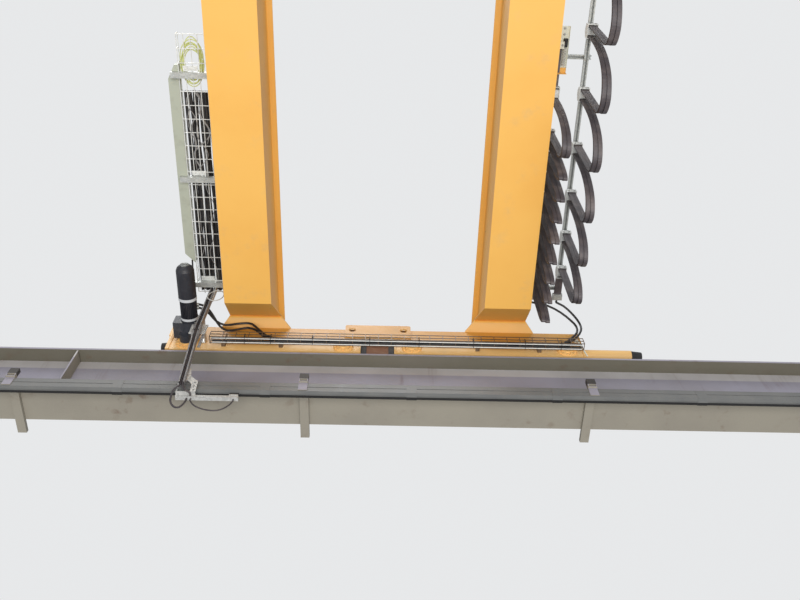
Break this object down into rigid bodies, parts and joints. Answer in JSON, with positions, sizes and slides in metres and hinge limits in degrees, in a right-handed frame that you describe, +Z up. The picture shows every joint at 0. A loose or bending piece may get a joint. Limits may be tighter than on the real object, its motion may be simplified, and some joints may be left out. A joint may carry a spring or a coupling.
{
  "type": "overhead bridge crane",
  "caption": "Double-girder overhead bridge crane on its runway beams, with travel drives, cable trays, festoon and crab trolley.",
  "frame": {"origin": "centre of the footprint, at the level of the bearing stools' undersides", "axes": "+X along the runway, +Y along the girders towards the pictured end, +Z up"},
  "size_m": [8, 10.92, 2.2899],
  "materials": {
    "runway_paint": "grey-beige oil paint, dusty",
    "rail_steel": "rolled steel, polished on top",
    "conductor_cover": "grey insulating cover",
    "crane_paint": "golden yellow gloss paint",
    "black_rubber": "moulded black rubber",
    "dark_iron": "dark machined casting",
    "gearbox_paint": "dark grey machine paint",
    "motor_paint": "black machine paint",
    "galvanised": "galvanised steel",
    "cream_sheet": "pale cream-green painted sheet",
    "rusty_steel": "bare steel with brown rust",
    "cable_jacket": "black cable jacket",
    "earth_jacket": "yellow-green cable jacket",
    "hoist_paint": "blue-grey machine paint",
    "rope_steel": "greased wire rope"
  },
  "bodies": {
    "runway": {"runway_beam_far": "runway_paint", "runway_beam_near": "runway_paint", "crane_rail_far": "rail_steel", "crane_rail_near": "rail_steel", "bearing_stools": "runway_paint", "conductor_hangers": "runway_paint", "conductor_line": "conductor_cover"},
    "bridge": {"girder_left": "crane_paint", "girder_right": "crane_paint", "girder_feet": "crane_paint", "truck_far_left": "crane_paint", "truck_far_right": "crane_paint", "truck_near_left": "crane_paint", "truck_near_right": "crane_paint", "tie_links": "crane_paint", "link_blocks": "rusty_steel", "link_packers": "black_rubber", "wheels_far": "dark_iron", "wheels_near": "dark_iron", "bearing_caps": "crane_paint", "buffer_tubes": "crane_paint", "buffer_heads": "black_rubber", "travel_gearbox_far": "gearbox_paint", "travel_gearbox_near": "gearbox_paint", "travel_motor_far": "motor_paint", "travel_motor_near": "motor_paint", "girder_tray": "galvanised", "tray_arms": "galvanised", "cable_trunking": "cream_sheet", "girder_tray_cables": "cable_jacket", "earth_cable_coil": "earth_jacket", "carriage_tray": "galvanised", "carriage_tray_cables": "cable_jacket", "feed_cables": "cable_jacket", "collector_strut": "galvanised", "collector_bar": "galvanised", "collector_shoes": "black_rubber", "collector_cables": "cable_jacket", "festoon_arms": "galvanised", "festoon_anchor": "cream_sheet", "festoon_track_inner": "galvanised", "festoon_track_outer": "galvanised", "festoon_carriers_inner": "galvanised", "festoon_carriers_outer": "galvanised", "festoon_cable_inner": "cable_jacket", "festoon_cable_outer": "cable_jacket", "festoon_tow_arm": "crane_paint", "trolley_rails": "rail_steel", "trolley_frame": "crane_paint", "trolley_wheels": "dark_iron", "hoist_drum": "dark_iron", "hoist_gearmotor": "hoist_paint", "hoist_ropes": "rope_steel", "hook_block": "dark_iron"}
  },
  "joints": [
    {"name": "bridge_travel", "type": "slide", "parent": "runway", "child": "bridge", "axis": [1, 0, 0], "range_m": [-2, 1.8]}
  ]
}
